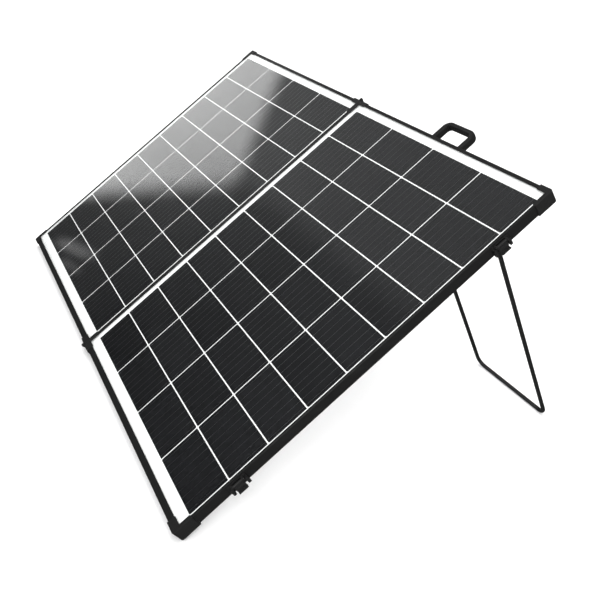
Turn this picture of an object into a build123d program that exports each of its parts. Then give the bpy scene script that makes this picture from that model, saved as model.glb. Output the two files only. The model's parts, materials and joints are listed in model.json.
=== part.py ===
from build123d import *
import math
import os

# Folding two-panel solar charger, standing open on its bottom edge and two swing-out legs.
# All sizes are in millimetres. A panel is drawn in its own directions: across (x) from the
# fold line to the outer side, up (v) from the bottom edge, and depth behind the glass.
# The right panel is drawn, and most of its pieces are mirrored to make the left one.

# Stance
panel_tilt = 36.0  # lean of the glass from level, degrees
leg_open_angle = 81.0  # swing of a leg from folded to standing, degrees

# Panel frame
panel_width = 667.4
panel_length = 901.0
fold_gap = 0.6  # between the two frames at the fold line
frame_front = -1.4  # depth of the lip's face: it stands in front of the glass
frame_back = 24.0
wall = 1.6
lip_width = 5.0
lip_thickness = 1.0
top_lip_width = 8.5
foot_lip_width = 14.5  # the bottom rail has the widest front lip, with a step in it
foot_lip_step = (6.8, 0.4)
ledge_width = 8.0
ledge_front = 3.8
ledge_back = 5.0
return_thickness = 1.5
side_return_width = 6.0  # rear return of the long rails
end_return_width = 14.0  # rear return of the short rails, wide enough for bolt holes
rail_edge = 0.5
mount_hole_radius = 3.3
mount_hole_inset = 8.0
mount_hole_offset = 213.0  # either side of the panel's middle
key_arm = (34.0, 28.0)  # corner key, up and across
key_width = 6.0
key_depth = (6.5, 20.0)

# Laminate
laminate_inset = 2.6
glass_back = 2.0
cell_back = 2.3
laminate_back = 3.4
seal = 0.4
cell_columns = 4
cell_rows = 9
cell_pitch = (160.0, 93.0)
cell_gap = (2.0, 2.6)
cell_chamfer = 2.2
cells_top = 874.7
right_cells_start = 18.3
left_cells_start = -652.9

# Corner guards
guard_wall = 2.2
guard_front = -2.4
guard_back = 25.5
foot_back = 28.5  # the outer bottom guards are thicker, and the charger stands on them
guard_overlap = 2.2  # past the lip, over the edge of the glass
guard_reach = (30.0, 42.0)
guard_corner_radius = 6.0
guard_edge = 0.6
foot_edge = 3.0
guard_screw_radius = 1.4
guard_screw_head = (2.6, 1.0)
guard_screw_inset = 4.0
guard_screw_tip = 20.5

# End hinges
hinge_axis_depth = -2.6
leaf_thickness = 2.0
leaf_gap = 0.1
leaf_span = (14.0, 29.0)
leaf_depths = (2.0, 20.0)
eye_radius = 4.6
hinge_pin_radius = 2.0
running_clearance = 0.05
pin_head = (3.4, 1.2)
hinge_screw_points = ((19.5, 9.5), (24.5, 16.5))  # across and behind the glass
hinge_screw_radius = 1.8
hinge_screw_head = (3.2, 1.3)
hinge_screw_tip = -7.0

# Carrying handle
handle_middle = 345.5
handle_width = 101.0
handle_height = 52.0
handle_band = 12.0
handle_depths = (3.0, 21.0)
handle_corner_radius = 20.0
handle_edge = 2.5
handle_screw_radius = 2.5
handle_screw_length = 15.0
handle_screw_head = (4.5, 3.0)

# Legs, their brackets and the brace that carries them
rod_radius = 4.5
leg_width = 228.0
leg_outer_arm = 656.0
leg_pivot_up = 768.0
leg_pivot_depth = 16.5
leg_foot_radius = 20.0
leg_elbow_radius = 5.0
leg_stub = 9.6
bracket_start = 5.5  # from the arm to the bracket's near side
bracket_thickness = 3.0
bracket_bottom = 761.5
bracket_depths = (8.0, 22.3)
bracket_flange = (20.0, 1.8)
bracket_flange_depths = (6.8, 16.8)
bracket_rivets_across = (646.5, 657.0)
bracket_rivet_depth = 11.8
stop_depths = (17.5, 22.3)
stop_thickness = 2.0
brace_span_up = (785.0, 811.0)
brace_depths = (5.0, 17.0)
brace_wall = 1.5
rivet_radius = 1.6
rivet_head = (2.8, 1.0)
brace_rivet_inset = 5.0
clip_span_up = (412.0, 428.0)
clip_span_across = (649.5, 666.1)
clip_depths = (9.5, 21.5)
clip_radius = 4.8

# Junction box on the back of the laminate
box_across = (151.0, 261.0)
box_up = (693.0, 755.0)
box_back = 18.9
box_wall = 2.0
lid_back = 21.4
diode_size = (16.0, 12.0, 6.0)
diode_spacing = 32.0
lid_spigot = 1.5
lid_edge = 1.2
gland_across = 206.0
gland_depth = 11.5
gland_nut_radius = 7.4
gland_nut_length = 5.0
gland_dome_radius = 5.8
gland_length = 15.0
gland_bore_radius = 3.1
gland_thread_radius = 4.6

# Snap latches on the right panel's outer side, and their catches on the left panel's
latch_heights = (139.0, 769.0)
latch_axis_out = 7.0
latch_axis_depth = 6.0
latch_pin_radius = 1.5
latch_barrel_radius = 3.0
latch_half_width = 10.3
latch_tip_depth = 26.0
latch_web = (5.8, 8.2)
latch_hook_out = 12.4
latch_hook_depth = 22.4
latch_rib_depths = (11.0, 14.0, 17.0)
latch_base_half = 20.0
latch_base_thickness = 2.0
latch_base_depths = (2.0, 23.0)
latch_ear = (10.6, 14.1)
latch_pad = (14.4, 20.0)  # raised ends of the base, which the screws go through
latch_pad_out = 6.5
latch_pad_depths = (10.0, 26.0)
latch_screw_spot = (17.0, 20.5)
catch_base_half = 12.0
catch_base_thickness = 1.5
catch_base_depths = (1.5, 16.0)
catch_lip_half = 9.0
catch_lip_depths = (2.3, 5.1)
catch_out = 5.4
catch_screw_spot = (7.0, 12.5)
side_screw_radius = 1.2
side_screw_head = (2.4, 1.2)
side_screw_tip = -2.4

# The lowest edge and the legs' feet are on the ground, and the origin is on the ground
# under the middle of the whole charger.
tilt_sin = math.sin(math.radians(panel_tilt))
tilt_cos = math.cos(math.radians(panel_tilt))
lean = math.radians(panel_tilt + leg_open_angle)
inner_face = fold_gap / 2
outer_face = inner_face + panel_width
panel_middle = inner_face + panel_width / 2
ground_drop = foot_back * tilt_cos - (foot_edge - guard_wall) * tilt_sin
pivot_height = leg_pivot_up * tilt_sin - leg_pivot_depth * tilt_cos + ground_drop
leg_length = (pivot_height - rod_radius) / math.sin(lean)
leg_back = leg_pivot_up * tilt_cos + leg_pivot_depth * tilt_sin - leg_length * math.cos(lean)
eye_level = guard_wall + leaf_gap  # past the end of the frame
second_eye_level = eye_level + leaf_thickness + leaf_gap
pin_head_level = second_eye_level + leaf_thickness + leaf_gap
pin_tip = pin_head_level + pin_head[1]
hinge_front = pin_tip * tilt_cos + (pin_head[0] - hinge_axis_depth) * tilt_sin
centre_back = (leg_back + rod_radius - hinge_front) / 2
fold_line = -(latch_hook_out - catch_out) / 2

panel = Plane(
    origin=(fold_line, -centre_back, ground_drop),
    x_dir=(1, 0, 0),
    z_dir=(0, -tilt_sin, tilt_cos),
)
fold_plane = Plane.YZ.offset(fold_line)


def at(x, v, depth=0.0):
    """A point of the right panel, in the charger's frame."""
    return panel.from_local_coords(Vector(x, v, -depth))


def facing_out(x=0.0, v=0.0, depth=0.0):
    """Plane parallel to the glass: sketches are across, up."""
    return Plane(origin=at(x, v, depth), x_dir=panel.x_dir, z_dir=panel.z_dir)


def facing_up(x=0.0, v=0.0, depth=0.0):
    """Plane square to the long rails: sketches are across, depth."""
    return Plane(origin=at(x, v, depth), x_dir=panel.x_dir, z_dir=panel.y_dir)


def facing_in(x=0.0, v=0.0, depth=0.0):
    """Plane square to the short rails: sketches are up, depth."""
    return Plane(origin=at(x, v, depth), x_dir=panel.y_dir, z_dir=-panel.x_dir)


middle_height = facing_up(0, panel_length / 2)


def save(name, part):
    part.label = name
    export_step(part, f"parts/{name}.step")


def save_mirrored(name, part):
    """Writes a piece of the left panel, from its mirror image on the right one."""
    with BuildPart() as twin:
        mirror(part, about=fold_plane)
    save(name, twin.part)


def save_pair(name, part):
    save(f"right_{name}", part)
    save_mirrored(f"left_{name}", part)


def block(across, up, depths, mode=Mode.ADD):
    """Box between two distances across, two up, and two depths behind the glass."""
    with BuildSketch(facing_out(sum(across) / 2, sum(up) / 2, max(depths))) as face:
        Rectangle(abs(across[1] - across[0]), abs(up[1] - up[0]))
    extrude(face.sketch, amount=abs(depths[1] - depths[0]), mode=mode)


def drill(points, radius, depths, mode=Mode.SUBTRACT):
    """Round holes or studs square to the glass, at points across and up."""
    with BuildSketch(facing_out(depth=max(depths))) as rounds:
        with Locations(*points):
            Circle(radius)
    extrude(rounds.sketch, amount=abs(depths[1] - depths[0]), mode=mode)


def drill_up(points, radius, ups, mode=Mode.SUBTRACT):
    """Round holes or studs along the panel, at points across and behind the glass."""
    with BuildSketch(facing_up(0, min(ups))) as rounds:
        with Locations(*points):
            Circle(radius)
    extrude(rounds.sketch, amount=abs(ups[1] - ups[0]), mode=mode)


def drill_across(points, radius, outs, mode=Mode.SUBTRACT):
    """Round holes or studs in the outer side, at points up and behind the glass."""
    with BuildSketch(facing_in(outer_face + max(outs))) as rounds:
        with Locations(*points):
            Circle(radius)
    extrude(rounds.sketch, amount=abs(outs[1] - outs[0]), mode=mode)


# ---- Frame rails ----


def bolt_hole_points(v):
    return [(panel_middle + side * mount_hole_offset, v) for side in (-1, 1)]


def handle_screw_points():
    offset = (handle_width - handle_band) / 2
    depth = sum(handle_depths) / 2
    return [(handle_middle - offset, depth), (handle_middle + offset, depth)]


def side_screw_points(spot):
    """Screws of the latches or the catches, up the outer rail and in depth."""
    offset, depth = spot
    return [(v + side * offset, depth) for v in latch_heights for side in (-1, 1)]


def brace_rivet_points():
    quarter = (brace_span_up[1] - brace_span_up[0]) / 4
    ups = (brace_span_up[0] + quarter, brace_span_up[1] - quarter)
    across = (inner_face + brace_rivet_inset, outer_face - brace_rivet_inset)
    return [(x, v) for x in across for v in ups]


def corner_of(at_fold, at_bottom):
    """A frame corner, and the directions from it into the panel."""
    x, inwards = (inner_face, 1) if at_fold else (outer_face, -1)
    v, upwards = (0.0, 1) if at_bottom else (panel_length, -1)
    return x, v, inwards, upwards


def guard_screw_points(at_fold, at_bottom):
    """The two screws through a guard's back into the rails' rear returns."""
    x, v, inwards, upwards = corner_of(at_fold, at_bottom)
    inset = guard_screw_inset
    along = (guard_reach[0] - 8, guard_reach[1] - 8)
    return [
        (x + inwards * inset, v + upwards * along[1]),
        (x + inwards * along[0], v + upwards * inset),
    ]


corners = [(True, True), (True, False), (False, True), (False, False)]


def lip_outline(lip, step):
    """Front face of a rail's profile, from its outer edge to its inner one."""
    if step is None:
        return [(0, frame_front + rail_edge), (rail_edge, frame_front), (lip, frame_front)]
    across, drop = step
    low = frame_front + drop
    return [
        (0, low + rail_edge),
        (rail_edge, low),
        (across, low),
        (across, frame_front),
        (lip, frame_front),
    ]


def add_rail(start, run, length, lip, rear_return, step=None):
    """Mitred rail. Its profile runs inwards from the outer face, and in depth."""
    inwards = run.cross(panel.z_dir)
    lip_back = frame_front + lip_thickness
    return_front = frame_back - return_thickness
    with BuildSketch(Plane(origin=start, x_dir=inwards, z_dir=run)) as profile:
        with BuildLine():
            Polyline(
                *lip_outline(lip, step),
                (lip, lip_back),
                (wall, lip_back),
                (wall, ledge_front),
                (ledge_width, ledge_front),
                (ledge_width, ledge_back),
                (wall, ledge_back),
                (wall, return_front),
                (rear_return, return_front),
                (rear_return, frame_back),
                (rail_edge, frame_back),
                (0, frame_back - rail_edge),
                close=True,
            )
        make_face()
    extrude(profile.sketch, amount=length)
    split(bisect_by=Plane(origin=start, x_dir=panel.z_dir, z_dir=run - inwards))
    end = start + run * length
    split(bisect_by=Plane(origin=end, x_dir=panel.z_dir, z_dir=-run - inwards))
    for at_fold, at_bottom in corners:
        points = guard_screw_points(at_fold, at_bottom)
        drill(points, guard_screw_radius, (return_front - 1, frame_back + 1))


def fold_rail():
    with BuildPart() as made:
        start = at(inner_face, 0)
        add_rail(start, panel.y_dir, panel_length, lip_width, side_return_width)
        drill(brace_rivet_points(), rivet_radius, (ledge_front - 0.1, ledge_back + 0.1))
    return made.part


def outer_rail(screw_spot):
    with BuildPart() as made:
        start = at(outer_face, panel_length)
        add_rail(start, -panel.y_dir, panel_length, lip_width, side_return_width)
        drill(brace_rivet_points(), rivet_radius, (ledge_front - 0.1, ledge_back + 0.1))
        drill_across(side_screw_points(screw_spot), side_screw_radius, (-wall - 1, 1))
    return made.part


def bottom_rail():
    with BuildPart() as made:
        start = at(outer_face, 0)
        lip = foot_lip_width
        add_rail(start, -panel.x_dir, panel_width, lip, end_return_width, foot_lip_step)
        drill(bolt_hole_points(mount_hole_inset), mount_hole_radius, (22, 25))
        drill_up(hinge_screw_points, hinge_screw_radius, (-1, wall + 1))
    return made.part


def top_rail(with_handle):
    ups = (panel_length - wall - 1, panel_length + 1)
    with BuildPart() as made:
        start = at(inner_face, panel_length)
        add_rail(start, panel.x_dir, panel_width, top_lip_width, end_return_width)
        drill(bolt_hole_points(panel_length - mount_hole_inset), mount_hole_radius, (22, 25))
        drill_up(hinge_screw_points, hinge_screw_radius, ups)
        if with_handle:
            drill_up(handle_screw_points(), handle_screw_radius, ups)
    return made.part


def corner_keys():
    """Four L-shaped keys inside the frame's corners."""
    with BuildPart() as keys:
        for at_fold, at_bottom in corners:
            x, v, inwards, upwards = corner_of(at_fold, at_bottom)
            near = x + inwards * wall
            low = v + upwards * wall
            across = (near, near + inwards * key_arm[1])
            up = (low, low + upwards * key_arm[0])
            block(across, (low, low + upwards * key_width), key_depth)
            block((near, near + inwards * key_width), up, key_depth)
        for ups in ((0, 10), (panel_length - 10, panel_length)):
            drill_up(hinge_screw_points, hinge_screw_radius, ups)
    return keys.part


# ---- Laminate ----


def laminate_slab(side, depths):
    across = (side * (inner_face + laminate_inset), side * (outer_face - laminate_inset))
    block(across, (laminate_inset, panel_length - laminate_inset), depths)


def cell_outline(clipped):
    """A cell with two clipped corners, at its top or its bottom."""
    half_x = (cell_pitch[0] - cell_gap[0]) / 2
    half_v = (cell_pitch[1] - cell_gap[1]) / 2
    return [
        (-half_x, -clipped * half_v),
        (half_x, -clipped * half_v),
        (half_x, clipped * (half_v - cell_chamfer)),
        (half_x - cell_chamfer, clipped * half_v),
        (-half_x + cell_chamfer, clipped * half_v),
        (-half_x, clipped * (half_v - cell_chamfer)),
    ]


def cut_cells(start, mode):
    """The grid of cells, as solids or as their pockets. Columns alternate."""
    with BuildSketch(facing_out(depth=cell_back)) as cells:
        for column in range(cell_columns):
            outline = cell_outline(1 if column % 2 == 0 else -1)
            x = start + (column + 0.5) * cell_pitch[0]
            for row in range(cell_rows):
                with Locations((x, cells_top - (row + 0.5) * cell_pitch[1])):
                    Polygon(*outline, align=None)
    extrude(cells.sketch, amount=cell_back - glass_back, mode=mode)


def solar_cells(start):
    with BuildPart() as cells:
        cut_cells(start, Mode.ADD)
    return cells.part


def front_glass():
    with BuildPart() as glass:
        laminate_slab(1, (0, glass_back))
    return glass.part


def back_sheet(side, start):
    """White sheet behind the glass, with a pocket for each cell."""
    with BuildPart() as sheet:
        laminate_slab(side, (glass_back, laminate_back))
        cut_cells(start, Mode.SUBTRACT)
    return sheet.part


def edge_seal():
    """Rubber channel round the edge of the laminate, gripped by the frame."""
    inside = lip_width - 0.2
    with BuildPart() as strip:
        across = (inner_face + wall, outer_face - wall)
        block(across, (wall, panel_length - wall), (-seal, ledge_front))
        window = (inner_face + inside, outer_face - inside)
        block(window, (inside, panel_length - inside), (-1, 5), mode=Mode.SUBTRACT)
        across = (inner_face + laminate_inset, outer_face - laminate_inset)
        up = (laminate_inset, panel_length - laminate_inset)
        block(across, up, (0, laminate_back), mode=Mode.SUBTRACT)
    return strip.part


# ---- Corner guards ----


def guard_back_of(at_fold, at_bottom):
    return foot_back if at_bottom and not at_fold else guard_back


def drive_guard_screws(at_fold, at_bottom, tip, mode):
    radius, head = guard_screw_head
    back = guard_back_of(at_fold, at_bottom)
    points = guard_screw_points(at_fold, at_bottom)
    drill(points, guard_screw_radius, (tip, back - head), mode=mode)
    drill(points, radius, (back - head, back), mode=mode)


def guard_outline(at_fold, at_bottom):
    """L-shaped plan of a guard, with the ends of its arms clipped."""
    x, v, inwards, upwards = corner_of(at_fold, at_bottom)
    side = 0.0 if at_fold else guard_wall
    arm = lip_width + guard_overlap
    end_arm = (foot_lip_width if at_bottom else top_lip_width) + guard_overlap
    outline = [
        (-side, -guard_wall),
        (guard_reach[0], -guard_wall),
        (guard_reach[0], end_arm - guard_overlap),
        (guard_reach[0] - guard_overlap, end_arm),
        (arm, end_arm),
        (arm, guard_reach[1] - guard_overlap),
        (arm - guard_overlap, guard_reach[1]),
        (-side, guard_reach[1]),
    ]
    return [(x + inwards * a, v + upwards * b) for a, b in outline]


def outside_frame(edge):
    """Whether an edge lies beyond the outer side or the end of the frame."""
    place = panel.to_local_coords(edge.center())
    return place.X > outer_face or place.Y < 0 or place.Y > panel_length


def corner_guard(at_fold, at_bottom):
    """Moulded cap over one corner of a frame."""
    x, v, inwards, upwards = corner_of(at_fold, at_bottom)
    back = guard_back_of(at_fold, at_bottom)
    normal = Axis(panel.origin, panel.z_dir)
    with BuildPart() as guard:
        with BuildSketch(facing_out(depth=back)):
            Polygon(*guard_outline(at_fold, at_bottom), align=None)
        extrude(amount=back - guard_front)
        if not at_fold:
            corner = at(x + guard_wall, v - upwards * guard_wall)
            upright = guard.edges().filter_by(normal).sort_by_distance(corner)[0]
            fillet(upright, guard_corner_radius)
        chamfer(guard.faces().sort_by(normal)[-1].edges(), guard_edge / 2)
        rear = guard.faces().sort_by(normal)[0].edges()
        rear_edge = foot_edge if back == foot_back else guard_edge
        chamfer(rear.filter_by(outside_frame), rear_edge)
        inside_x = (x, x + inwards * 2 * guard_reach[0])
        inside_v = (v, v + upwards * 2 * guard_reach[1])
        block(inside_x, inside_v, (frame_front, frame_back), mode=Mode.SUBTRACT)
        drive_guard_screws(at_fold, at_bottom, guard_screw_tip, Mode.SUBTRACT)
        if at_fold:
            ends = (v - upwards * (guard_wall + 1), v + upwards)
            drill_up(hinge_screw_points, hinge_screw_radius, ends)
    return guard.part


def guard_screws():
    with BuildPart() as screws:
        for at_fold, at_bottom in corners:
            drive_guard_screws(at_fold, at_bottom, guard_screw_tip, Mode.ADD)
    return screws.part


# ---- Brace, leg brackets, clip and leg ----


def bracket_rivet_points():
    middle = leg_outer_arm - leg_width / 2
    outer = list(bracket_rivets_across)
    inner = [2 * middle - x for x in bracket_rivets_across]
    return [(x, bracket_rivet_depth) for x in outer + inner]


def cross_brace():
    """Channel from rail to rail behind the laminate, open to the back."""
    across = (inner_face + wall, outer_face - wall)
    inner_up = (brace_span_up[0] + brace_wall, brace_span_up[1] - brace_wall)
    with BuildPart() as brace:
        block(across, brace_span_up, brace_depths)
        inside = (brace_depths[0] + brace_wall, brace_depths[1] + 1)
        block((across[0] - 1, across[1] + 1), inner_up, inside, mode=Mode.SUBTRACT)
        drill(brace_rivet_points(), rivet_radius, (brace_depths[0] - 1, inside[0] + 1))
        ups = (brace_span_up[0] - 1, inner_up[0] + 1)
        drill_up(bracket_rivet_points(), rivet_radius, ups)
    return brace.part


def brace_rivets():
    radius, head = rivet_head
    web = brace_depths[0] + brace_wall
    flange = brace_span_up[0] - bracket_flange[1]
    inner = brace_span_up[0] + brace_wall
    with BuildPart() as rivets:
        drill(brace_rivet_points(), rivet_radius, (ledge_front, web), mode=Mode.ADD)
        drill(brace_rivet_points(), radius, (web, web + head), mode=Mode.ADD)
        drill_up(bracket_rivet_points(), rivet_radius, (flange, inner), mode=Mode.ADD)
        drill_up(bracket_rivet_points(), radius, (flange - head, flange), mode=Mode.ADD)
        drill_up(bracket_rivet_points(), radius, (inner, inner + head), mode=Mode.ADD)
    return rivets.part


def leg_brackets():
    """Plates each side of a leg, with its bearings and the stops it opens against."""
    middle = leg_outer_arm - leg_width / 2
    near = leg_outer_arm + bracket_start
    far = near + bracket_thickness
    top = brace_span_up[0]
    stop_start = leg_pivot_up + rod_radius + running_clearance
    with BuildPart() as brackets:
        block((near, far), (bracket_bottom, top), bracket_depths)
        reach, thick = bracket_flange
        block((near - reach, far), (top - thick, top), bracket_flange_depths)
        stop_across = (leg_outer_arm - rod_radius, far)
        block(stop_across, (stop_start, stop_start + stop_thickness), stop_depths)
        rivets = [(x, bracket_rivet_depth) for x in bracket_rivets_across]
        drill_up(rivets, rivet_radius, (top - thick - 1, top + 1))
        bearing = [(leg_pivot_up, leg_pivot_depth)]
        radius = rod_radius + running_clearance
        drill_across(bearing, radius, (near - 1 - outer_face, far + 1 - outer_face))
        mirror(about=Plane.YZ.offset(fold_line + middle))
    return brackets.part


def leg_clip():
    """Saddle on the outer rail that holds the folded leg."""
    slot = (leg_outer_arm - clip_radius, leg_outer_arm + clip_radius)
    with BuildPart() as clip:
        block(clip_span_across, clip_span_up, clip_depths)
        block(slot, (400, 440), (leg_pivot_depth, 30), mode=Mode.SUBTRACT)
        drill_up([(leg_outer_arm, leg_pivot_depth)], clip_radius, (400, 440))
    return clip.part


def leg():
    """Bent rod: two short pivots, two arms and a foot across the ground."""
    arm = Vector(0, -math.cos(lean), -math.sin(lean))
    pivot = at(0, leg_pivot_up, leg_pivot_depth)
    inner_arm = leg_outer_arm - leg_width
    with BuildPart() as rod:
        with BuildLine(Plane(origin=pivot, x_dir=panel.x_dir, z_dir=panel.x_dir.cross(arm))):
            FilletPolyline(
                (leg_outer_arm + leg_stub, 0),
                (leg_outer_arm, 0),
                (leg_outer_arm, leg_length),
                (inner_arm, leg_length),
                (inner_arm, 0),
                (inner_arm - leg_stub, 0),
                radius=[leg_elbow_radius, leg_foot_radius, leg_foot_radius, leg_elbow_radius],
            )
        start = at(leg_outer_arm + leg_stub, leg_pivot_up, leg_pivot_depth)
        with BuildSketch(Plane(origin=start, x_dir=panel.y_dir, z_dir=-panel.x_dir)):
            Circle(rod_radius)
        sweep()
    return rod.part


# ---- Junction box ----


def junction_box():
    low, high = box_up
    floor = laminate_back + box_wall
    with BuildPart() as box:
        block(box_across, box_up, (laminate_back, box_back))
        across = (box_across[0] + box_wall, box_across[1] - box_wall)
        up = (low + box_wall, high - box_wall)
        block(across, up, (floor, box_back + 1), mode=Mode.SUBTRACT)
        opening = [(gland_across, gland_depth)]
        drill_up(opening, gland_thread_radius, (low - 1, low + box_wall + 1))
    return box.part


def junction_lid():
    inset = box_wall + 0.2
    across = (box_across[0] + inset, box_across[1] - inset)
    up = (box_up[0] + inset, box_up[1] - inset)
    with BuildPart() as lid:
        block(box_across, box_up, (box_back, lid_back))
        rear = lid.faces().sort_by(Axis(panel.origin, panel.z_dir))[0]
        chamfer(rear.edges(), lid_edge)
        block(across, up, (box_back - lid_spigot, box_back))
    return lid.part


def bypass_diodes():
    wide, tall, deep = diode_size
    floor = laminate_back + box_wall
    middle = sum(box_up) / 2
    with BuildPart() as diodes:
        for step in (-1, 0, 1):
            x = gland_across + step * diode_spacing
            up = (middle - tall / 2, middle + tall / 2)
            block((x - wide / 2, x + wide / 2), up, (floor, floor + deep))
    return diodes.part


def cable_gland():
    """Gland in the box's lower side: thread, hexagonal nut and dome, with a clear bore."""
    low = box_up[0]
    place = [(gland_across, gland_depth)]
    nut = low - gland_nut_length
    with BuildPart() as gland:
        drill_up(place, gland_thread_radius, (low, low + box_wall), mode=Mode.ADD)
        with BuildSketch(facing_up(gland_across, nut, gland_depth)):
            RegularPolygon(gland_nut_radius, 6)
        extrude(amount=gland_nut_length)
        drill_up(place, gland_dome_radius, (low - gland_length, nut), mode=Mode.ADD)
        ups = (low - gland_length - 1, low + box_wall + 1)
        drill_up(place, gland_bore_radius, ups)
    return gland.part


# ---- End hinges ----


def leaf_outline():
    """Plan of a hinge leaf, from its eye to its far end."""
    near, far = leaf_span
    front, back = leaf_depths
    reach = eye_radius * math.sqrt(0.5)
    return [
        (reach, hinge_axis_depth - reach),
        (front + 2 * reach - hinge_axis_depth, front),
        (far, front),
        (far, back),
        (near, back),
        (near - 8, back - 8),
        (near - 8, hinge_axis_depth + 2 * reach + near - 8),
        (-reach, hinge_axis_depth + reach),
    ]


def leaf_layer(ups, limits):
    """The part of a leaf between two levels, and between two distances across."""
    with BuildSketch(facing_up(0, min(ups))) as layer:
        Polygon(*leaf_outline(), align=None)
        with Locations((0, hinge_axis_depth)):
            Circle(eye_radius)
        near, far = limits
        with Locations(((near + far) / 2, 0)):
            Rectangle(far - near, 100, mode=Mode.INTERSECT)
    extrude(layer.sketch, amount=max(ups) - min(ups))


def hinge_leaves(passes_over):
    """Leaves at the top and the bottom. The left one's eye passes over the right one's."""
    top = panel_length + guard_wall
    plate = top + leaf_gap + leaf_thickness
    level = panel_length + (second_eye_level if passes_over else eye_level)
    bore = hinge_pin_radius + (running_clearance if passes_over else 0)
    near = leaf_span[0]
    with BuildPart() as leaves:
        leaf_layer((level, level + leaf_thickness), (-10, near + 2))
        leaf_layer((top, plate), (near - 2 if passes_over else near - 8, 50))
        if passes_over:
            leaf_layer((top, level), (near - 2, near + 2))
        drill_up([(0, hinge_axis_depth)], bore, (top - 1, level + 5))
        drill_up(hinge_screw_points, hinge_screw_radius, (top - 1, plate + 1))
        mirror(about=middle_height)
    return leaves.part


def hinge_pins():
    radius, head = pin_head
    place = [(0, hinge_axis_depth)]
    top = panel_length + pin_head_level
    with BuildPart() as pins:
        drill_up(place, hinge_pin_radius, (panel_length + eye_level, top), mode=Mode.ADD)
        drill_up(place, radius, (top, top + head), mode=Mode.ADD)
        mirror(about=middle_height)
    return pins.part


def hinge_screws():
    radius, head = hinge_screw_head
    top = panel_length + guard_wall + leaf_gap + leaf_thickness
    with BuildPart() as screws:
        ups = (panel_length + hinge_screw_tip, top)
        drill_up(hinge_screw_points, hinge_screw_radius, ups, mode=Mode.ADD)
        drill_up(hinge_screw_points, radius, (top, top + head), mode=Mode.ADD)
        mirror(about=middle_height)
    return screws.part


# ---- Carrying handle ----


def handle():
    """Flat strap bent into a bridge, screwed on from inside the top rail."""
    half = (handle_width - handle_band) / 2
    rise = handle_height - handle_band / 2
    radius = handle_corner_radius - handle_band / 2
    foot = Axis(at(0, panel_length), panel.y_dir)
    with BuildPart() as strap:
        with BuildSketch(facing_out(handle_middle, panel_length, max(handle_depths))):
            with BuildLine():
                FilletPolyline((-half, 0), (-half, rise), (half, rise), (half, 0), radius=radius)
            trace(line_width=handle_band)
        extrude(amount=handle_depths[1] - handle_depths[0])
        normal = Axis(panel.origin, panel.z_dir)
        faces = strap.faces().sort_by(normal)
        rims = faces[0].edges() + faces[-1].edges()
        chamfer(rims.sort_by(foot)[4:], handle_edge)
        ups = (panel_length - 1, panel_length - wall + handle_screw_length)
        drill_up(handle_screw_points(), handle_screw_radius, ups)
    return strap.part


def handle_screws():
    radius, head = handle_screw_head
    inner = panel_length - wall
    ups = (inner, inner + handle_screw_length)
    with BuildPart() as screws:
        drill_up(handle_screw_points(), handle_screw_radius, ups, mode=Mode.ADD)
        drill_up(handle_screw_points(), radius, (inner - head, inner), mode=Mode.ADD)
    return screws.part


# ---- Latches and catches ----


def latch_block(outs, ups, depths, mode=Mode.ADD):
    """Box on the outer side of a panel."""
    block((outer_face + outs[0], outer_face + outs[1]), ups, depths, mode=mode)


def latch_bases():
    half = latch_base_half
    near, far = latch_ear
    axis = [(outer_face + latch_axis_out, latch_axis_depth)]
    depths = (latch_axis_depth - latch_barrel_radius, latch_axis_depth + latch_barrel_radius)
    outs = (latch_base_thickness, latch_axis_out + 2.6)
    with BuildPart() as bases:
        for v in latch_heights:
            latch_block((0, latch_base_thickness), (v - half, v + half), latch_base_depths)
            for side in (-1, 1):
                latch_block(outs, (v + side * near, v + side * far), depths)
                ups = (v + side * latch_pad[0], v + side * latch_pad[1])
                latch_block((0, latch_pad_out), ups, latch_pad_depths)
            drill_up(axis, latch_pin_radius, (v - far - 1, v + far + 1))
        screws = side_screw_points(latch_screw_spot)
        drill_across(screws, side_screw_radius, (-1, latch_pad_out + 1))
    return bases.part


def latch_pins():
    axis = [(outer_face + latch_axis_out, latch_axis_depth)]
    with BuildPart() as pins:
        for v in latch_heights:
            ups = (v - latch_ear[1] - 0.3, v + latch_ear[1] + 0.3)
            drill_up(axis, latch_pin_radius, ups, mode=Mode.ADD)
    return pins.part


def latch_arm(v):
    """Arm with a barrel, a flat web with grip ribs, and a hook at its tip."""
    ups = (v - latch_half_width, v + latch_half_width)
    axis = [(outer_face + latch_axis_out, latch_axis_depth)]
    bore = latch_pin_radius + running_clearance
    with BuildPart() as arm:
        latch_block(latch_web, ups, (latch_axis_depth, latch_tip_depth))
        hook_outs = (latch_web[1], latch_hook_out)
        latch_block(hook_outs, ups, (latch_hook_depth, latch_tip_depth))
        for depth in latch_rib_depths:
            latch_block((latch_web[1], latch_web[1] + 0.9), ups, (depth - 0.7, depth + 0.7))
        drill_up(axis, latch_barrel_radius, ups, mode=Mode.ADD)
        drill_up(axis, bore, (v - 20, v + 20))
    return arm.part


def side_screws(spot, base):
    """Screws through a latch or catch base into the outer rail."""
    radius, head = side_screw_head
    points = side_screw_points(spot)
    with BuildPart() as screws:
        drill_across(points, side_screw_radius, (side_screw_tip, base), mode=Mode.ADD)
        drill_across(points, radius, (base, base + head), mode=Mode.ADD)
    return screws.part


def catches():
    half = catch_base_half
    with BuildPart() as made:
        for v in latch_heights:
            ups = (v - catch_lip_half, v + catch_lip_half)
            latch_block((0, catch_base_thickness), (v - half, v + half), catch_base_depths)
            latch_block((catch_base_thickness, catch_out), ups, catch_lip_depths)
        screws = side_screw_points(catch_screw_spot)
        drill_across(screws, side_screw_radius, (-1, catch_base_thickness + 1))
    return made.part


# ---- Write the pieces ----

os.makedirs("parts", exist_ok=True)

save_pair("front_glass", front_glass())
save("right_solar_cells", solar_cells(right_cells_start))
save("left_solar_cells", solar_cells(left_cells_start))
save("right_back_sheet", back_sheet(1, right_cells_start))
save("left_back_sheet", back_sheet(-1, left_cells_start))
save_pair("edge_seal", edge_seal())

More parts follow.
